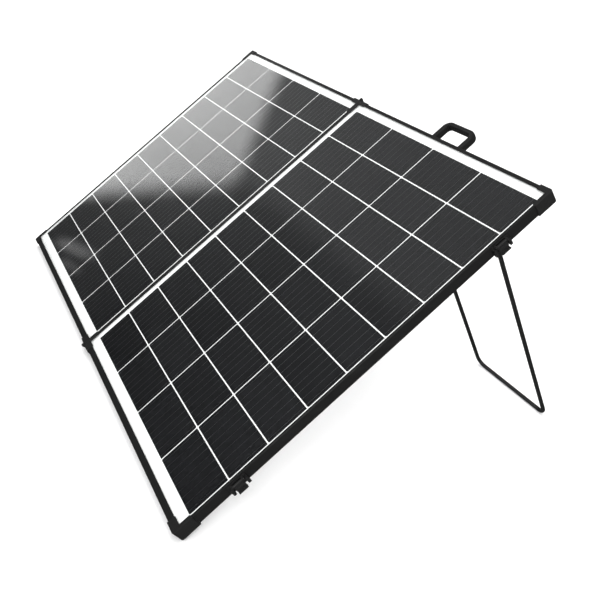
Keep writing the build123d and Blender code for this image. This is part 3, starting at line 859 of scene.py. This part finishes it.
@dataclass
class Handle:
    """Flat strap bent into a bridge on the right panel's top rail."""

    shop: Workshop
    middle: float = 345.5
    width: float = 101.0
    height: float = 52.0
    band: float = 12.0
    depths: tuple[float, float] = (3.0, 21.0)
    corner: float = 20.0
    squareness: float = 3.4
    spacing: float = 1.6
    flute_pitch: float = 7.5
    flute_depth: float = 0.35

    def build(self) -> None:
        """Carries a rounded oblong round the bridge, fluted under its middle.

        The section is a superellipse: cosine and sine of an angle, each raised to two over
        the squareness. The flutes are a sine along the path, on the section's inner half.
        """
        half = (self.width - self.band) / 2
        rise = self.height - self.band / 2
        corners = [(-half, 0.05), (-half, rise), (half, rise), (half, 0.05)]
        radius = self.corner - self.band / 2
        flat = resample(rounded_path(corners, [radius, radius], 18), self.spacing)
        x, v = flat[:, 0], flat[:, 1]
        centre = LEAN.place(self.middle + x, LEAN.length + v, sum(self.depths) / 2)
        angle = np.linspace(0, 2 * math.pi, 49)[:-1]
        cos, sin = np.cos(angle), np.sin(angle)
        power = 2 / self.squareness
        thick = np.sign(cos) * np.abs(cos) ** power * self.band / 2
        wide = np.sign(sin) * np.abs(sin) ** power * (self.depths[1] - self.depths[0]) / 2
        ring = np.stack([thick, wide], axis=1)
        along = np.clip(1 - np.abs(x) / (half - self.corner), 0, 1) * (v > rise - 0.5)
        fade = np.minimum(along * 4, 1)
        flutes = (0.5 - 0.5 * np.cos(x * 2 * math.pi / self.flute_pitch)) * fade * self.flute_depth
        outward = np.sign(self.profile_side())
        inner = np.clip(-outward * cos, 0, 1) ** 0.5
        rings = np.repeat(ring[None], len(flat), axis=0)
        rings[..., 0] += outward * inner * flutes[:, None]
        points = sweep(centre, LEAN.rear, rings * MM)
        piece = mesh_piece("handle_strap", points, tube_faces(len(flat), len(angle)))
        self.shop.fit(piece, GRIP, "handle")
        self.shop.dress("handle_screws", DARK_STEEL)

    def profile_side(self) -> float:
        """Sign of the path's own normal at the middle of the bridge, against the way up."""
        return float(np.cross(LEAN.rear, [1.0, 0, 0]) @ LEAN.up)


# ---- Turned pieces ----


@dataclass(frozen=True)
class Turned:
    """A screw or a pin: shank, rim and head, with a six-sided socket."""

    shank: float
    head: float
    height: float
    tip: float
    socket: float

    def points(self, places: np.ndarray, axis: np.ndarray, columns: int = 24) -> np.ndarray:
        """Turns the profile about each place's axis.

        The radius of a ring follows the profile, and the socket's rings are six-sided:
        their radius is over the cosine of the angle to the nearest flat's middle.

        Args:
            places: where the underside of each head is, metres.
            axis: unit vector out of the head.
            columns: points round a ring.

        Returns:
            Array of places by rings by columns by three.
        """
        shank = [0.2, self.shank, self.shank, self.shank]
        head = np.array([0.96, 1.0, 1.0, 0.93, 0.74]) * self.head
        radius = np.array([*shank, *head, self.socket, self.socket * 0.96, 0.15])
        below = np.array([0, 0.02, 0.4]) - self.tip
        above = np.array([0, 0, 0.12, 0.5, 0.82, 1, 1, 0.4, 0.38]) * self.height
        level = np.concatenate([below, above])
        six = np.array([0, 0, 0, 0, 0, 0, 0, 0, 0, 1, 1, 0])[:, None]
        angle = np.linspace(0, 2 * math.pi, columns + 1)[:-1]
        flat = 0.9 / np.cos(np.mod(angle + math.pi / 6, math.pi / 3) - math.pi / 6)
        ring = radius[:, None] * (six * flat + (1 - six))
        first = np.cross(axis, [1.0, 0, 0]) if abs(axis[0]) < 0.9 else np.cross(axis, LEAN.up)
        first = first / np.linalg.norm(first)
        second = np.cross(axis, first)
        local = (
            (ring * np.cos(angle))[..., None] * first
            + (ring * np.sin(angle))[..., None] * second
            + level[:, None, None] * axis
        ) * MM
        return places[:, None, None] + local[None]


@dataclass
class Fasteners:
    """Screws of the hinges, latches, catches and guards, and the hinge pins."""

    shop: Workshop
    hinge_screw: Turned = Turned(1.8, 3.2, 1.3, 11.3, 1.35)
    latch_screw: Turned = Turned(1.2, 2.4, 1.2, 8.9, 1.05)
    catch_screw: Turned = Turned(1.2, 2.4, 1.2, 3.9, 1.05)
    guard_screw: Turned = Turned(1.4, 2.6, 1.0, 4.0, 1.1)
    pin: Turned = Turned(2.0, 3.4, 1.2, 4.2, 1.2)
    hinge_places: tuple[tuple[float, float], ...] = ((19.5, 9.5), (24.5, 16.5))
    leaf_level: float = 4.3
    pin_level: float = 6.5
    pin_depth: float = -2.6
    latch_heights: tuple[float, float] = (139.0, 769.0)
    latch_spot: tuple[float, float] = (17.0, 20.5)
    latch_base: float = 6.5
    catch_spot: tuple[float, float] = (7.0, 12.5)
    catch_base: float = 1.5
    guard_inset: float = 4.0
    guard_reach: tuple[float, float] = (22.0, 34.0)
    guard_depth: float = 24.5
    foot_depth: float = 27.5

    def make(self, name: str, groups: list[np.ndarray], finish: Any, node: str) -> None:
        """Joins several sets of turned pieces into one object that stands for a node."""
        rings = np.concatenate(groups)
        faces = tube_faces(rings.shape[1], rings.shape[2], rings.shape[0])
        self.shop.fit(mesh_piece(name, rings, faces), finish, node)

    def hinge_sets(self, side: Side) -> list[np.ndarray]:
        """Screws through the top and the bottom leaf of one panel."""
        spots = np.array(self.hinge_places)
        across, depth = spots[:, 0] * side.value, spots[:, 1]
        top = LEAN.place(across, LEAN.length + self.leaf_level, depth)
        bottom = LEAN.place(across, -self.leaf_level, depth)
        return [self.hinge_screw.points(top, LEAN.up), self.hinge_screw.points(bottom, -LEAN.up)]

    def side_set(
        self, screw: Turned, side: Side, spot: tuple[float, float], base: float
    ) -> list[np.ndarray]:
        """Screws in the outer side of one panel, through a latch or a catch base."""
        offset, depth = spot
        heights = np.array(self.latch_heights)[:, None]
        up = (heights + np.array([-offset, offset])).reshape(-1)
        places = LEAN.place(side.value * (LEAN.outer_face + base), up, depth)
        return [screw.points(places, np.array([float(side.value), 0, 0]))]

    def guard_set(self, side: Side) -> list[np.ndarray]:
        """Screws through the backs of one panel's guards, sunk in their pockets."""
        inset, (near_x, near_v) = self.guard_inset, self.guard_reach
        a, b, top = LEAN.inner_face, LEAN.outer_face, LEAN.length
        back, foot = self.guard_depth, self.foot_depth
        spots = np.array([
            (a + inset, near_v, back), (a + near_x, inset, back),
            (a + inset, top - near_v, back), (a + near_x, top - inset, back),
            (b - inset, near_v, foot), (b - near_x, inset, foot),
            (b - inset, top - near_v, back), (b - near_x, top - inset, back),
        ])
        places = LEAN.place(spots[:, 0] * side.value, spots[:, 1], spots[:, 2])
        return [self.guard_screw.points(places, LEAN.rear)]

    def build(self) -> None:
        """Makes every set of screws and the pins."""
        for side in Side:
            label = side.label
            hinge, guard = self.hinge_sets(side), self.guard_set(side)
            self.make(f"{label}_hinge_screw_set", hinge, STEEL, f"{label}_hinge_screws")
            self.make(f"{label}_guard_screw_set", guard, DARK_STEEL, f"{label}_guard_screws")
        latch = self.side_set(self.latch_screw, Side.RIGHT, self.latch_spot, self.latch_base)
        catch = self.side_set(self.catch_screw, Side.LEFT, self.catch_spot, self.catch_base)
        self.make("latch_screw_set", latch, DARK_STEEL, "latch_screws")
        self.make("catch_screw_set", catch, DARK_STEEL, "catch_screws")
        top = LEAN.place(np.zeros(1), LEAN.length + self.pin_level, self.pin_depth)
        bottom = LEAN.place(np.zeros(1), -self.pin_level, self.pin_depth)
        pins = [self.pin.points(top, LEAN.up), self.pin.points(bottom, -LEAN.up)]
        self.make("hinge_pin_set", pins, STEEL, "hinge_pins")


@dataclass
class HingesAndLatches:
    """Hinge leaves, latch bases, arms and pins, and the catches."""

    shop: Workshop
    radius: float = 0.35

    def build(self) -> None:
        """Rounds the edges of each piece."""
        for side in Side:
            self.shop.round_over(f"{side.label}_hinge_leaves", POWDER, self.radius)
        for node in ("latch_bases", "latch_arm_lower", "latch_arm_upper", "catches"):
            self.shop.round_over(node, MOULDED, self.radius)
        self.shop.dress("latch_pins", STEEL)


# ---- Studio ----


@dataclass
class Studio:
    """Pale floor, soft light and the camera."""

    camera_place: tuple[float, float, float] = (1586.4, 367.3, -952.3)
    camera_right: tuple[float, float, float] = (0.4512, 0.7439, -0.4929)
    camera_ahead: tuple[float, float, float] = (-0.7734, 0.0504, -0.6319)
    lens: float = 44.83
    ambient: float = 1.25
    mirrored: float = 0.09
    light_aim: tuple[float, float, float] = (0.0, 0.0, 0.2)
    card_height: float = 1500.0
    card_origin: tuple[float, float] = (1586.4, 367.3)
    card_spread: float = 2.5751
    card_corner: tuple[float, float] = (-94.0, 533.0)
    card_streaks: tuple[tuple[float, ...], ...] = (
        (-440.0, 92.0, 0.28, 120.0, 24.0, 0.50),
        (-375.0, 57.0, 0.2, 70.0, 16.0, 0.26),
    )
    floor_reach: float = 9.0
    floor_flat: float = 6.0
    floor_points: int = 49

    def floor(self) -> None:
        """Large pale floor, whose height is the cube of the way past its flat part."""
        count = self.floor_points
        reach = np.linspace(-self.floor_reach, self.floor_reach, count)
        x, y = np.meshgrid(reach, reach, indexing="ij")
        far = np.clip(np.hypot(x, y) - self.floor_flat, 0, None)
        grid = np.stack([x, y, far**3 * 0.02 - 0.0002], axis=-1)
        r, c = np.meshgrid(np.arange(count - 1), np.arange(count - 1), indexing="ij")
        corner = r * count + c
        faces = np.stack([corner, corner + count, corner + count + 1, corner + 1], -1)
        faces = faces.reshape(-1, 4).tolist()
        mesh = bpy.data.meshes.new("studio_floor")
        mesh.from_pydata(grid.reshape(-1, 3), [], faces)
        mesh.polygons.foreach_set("use_smooth", np.full(len(faces), True))
        floor = bpy.data.objects.new("studio_floor", mesh)
        bpy.context.scene.collection.objects.link(floor)
        graph = Graph(bpy.data.materials.new("studio_white"))
        graph.surface({"Base Color": grey(0.95), "Roughness": 0.85, "Specular IOR Level": 0.1})
        floor.data.materials.append(graph.owner)
        floor.visible_glossy = False

    def world(self) -> None:
        """Even light all round, and a dim surround in mirror gloss."""
        world = bpy.data.worlds.new("studio_world")
        bpy.context.scene.world = world
        graph = Graph(world)
        path = graph.node("ShaderNodeLightPath")
        glossy = Value(graph, path.outputs["Is Glossy Ray"])
        strength = glossy * (self.mirrored - self.ambient) + self.ambient
        background = graph.node("ShaderNodeBackground", None, {0: (1, 1, 1, 1), 1: strength})
        graph.node("ShaderNodeOutputWorld", None, {0: background.outputs[0]})

    def card(self) -> None:
        """Large glowing card over the panels, seen only in gloss.

        Its glow is a bright corner of a soft box, whose two edges are smooth steps of the
        distance from two lines, over a band that fades down the slope and a few streaks.
        """
        spread, (x0, v0) = self.card_spread, self.card_origin
        across = x0 + (np.array([-760.0, 760.0, 760.0, -760.0]) - x0) * spread
        up = v0 + (np.array([-60.0, -60.0, 1000.0, 1000.0]) - v0) * spread
        points = LEAN.place(across, up, -self.card_height)
        mesh = bpy.data.meshes.new("studio_card")
        mesh.from_pydata(points, [], [[0, 1, 2, 3]])
        card = bpy.data.objects.new("studio_card", mesh)
        bpy.context.scene.collection.objects.link(card)
        graph = Graph(bpy.data.materials.new("studio_glow"))
        x, v, _ = graph.along_panel()
        corner_x, corner_v = self.card_corner
        x = (x - x0) / spread + (x0 - corner_x)
        v = (v - v0) / spread + (v0 - corner_v)
        box = (x * -0.728 - v * 0.685).ramp(-45, 55) * (x * -0.503 + v * 0.864).ramp(-45, 75)
        band = v.ramp(-10, 70) * (x.ramp(-350, 250) * 0.12 + 0.10)
        foot = v.ramp(-560, 100) * 0.09 + x.ramp(150, -150) * 0.05 + 0.02
        streaks = sum(self.streak(x + corner_x, v + corner_v, *s) for s in self.card_streaks)
        level = box * 1.9 + band + foot + streaks
        glow = graph.node("ShaderNodeEmission", None, {0: (1, 1, 1, 1), 1: level})
        graph.node("ShaderNodeOutputMaterial", None, {0: glow.outputs[0]})
        card.data.materials.append(graph.owner)
        card.visible_camera = card.visible_diffuse = card.visible_shadow = False
        card.visible_transmission = False

    def streak(self, x: Value, v: Value, *shape: float) -> Value:
        """Soft oblong glow on the card.

        It is a smooth step down from its middle line, times one down from its middle.

        Args:
            x: across the glass, millimetres.
            v: up the glass.
            shape: middle across and up, slope, half length, half width, and strength.

        Returns:
            The glow's strength.
        """
        middle_x, middle_v, slope, long, wide, strength = shape
        aside = (v - middle_v - (x - middle_x) * slope).math("ABSOLUTE")
        ends = x.distance(middle_x).ramp(long * 1.4, long * 0.4)
        return ends * aside.ramp(wide * 1.5, 0.0) * strength

    def area(
        self, name: str, place: Sequence[float], size: float, watts: float, seen: bool
    ) -> None:
        """Square soft light on the charger, which may or may not be seen in gloss."""
        lamp = bpy.data.lights.new(name, "AREA")
        lamp.shape = "SQUARE"
        lamp.size = size
        lamp.energy = watts
        holder = bpy.data.objects.new(name, lamp)
        holder.location = place
        towards = Vector(self.light_aim) - Vector(place)
        holder.rotation_euler = towards.to_track_quat("-Z", "Y").to_euler()
        holder.visible_glossy = seen
        bpy.context.scene.collection.objects.link(holder)

    def camera(self) -> None:
        """The camera, in the leaning panels' directions: across, up and out of the glass."""
        lens = bpy.data.cameras.new("studio_camera")
        lens.lens = self.lens
        lens.sensor_width = 36
        lens.clip_start = 0.01
        holder = bpy.data.objects.new("studio_camera", lens)
        panel = np.stack([np.array([1.0, 0, 0]), LEAN.up, -LEAN.rear])
        right, ahead = self.camera_right @ panel, self.camera_ahead @ panel
        axes = np.stack([right, np.cross(right, ahead), -ahead], axis=1)
        holder.matrix_world = Matrix(axes.tolist()).to_4x4()
        holder.location = LEAN.place(*self.camera_place)
        bpy.context.scene.collection.objects.link(holder)
        bpy.context.scene.camera = holder

    def build(self) -> None:
        """Sets up the studio."""
        self.floor()
        self.world()
        self.card()
        self.area("key_light", (2.6, -1.6, 2.6), size=1.4, watts=45.0, seen=True)
        self.area("top_light", (-0.6, 0.2, 3.4), size=2.4, watts=40.0, seen=False)
        self.camera()
        bpy.context.scene.view_settings.view_transform = "Standard"


def main() -> None:
    """Builds every sub-assembly in order."""
    logging.basicConfig(level=logging.INFO, format="%(message)s")
    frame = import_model()
    shop = Workshop(frame)
    for side in Side:
        Laminate(shop, side).build()
        FrameAndBack(shop, side).build()
        Leg(shop, side).build()
    Handle(shop).build()
    HingesAndLatches(shop).build()
    Fasteners(shop).build()
    Studio().build()


if __name__ == "__main__":
    main()
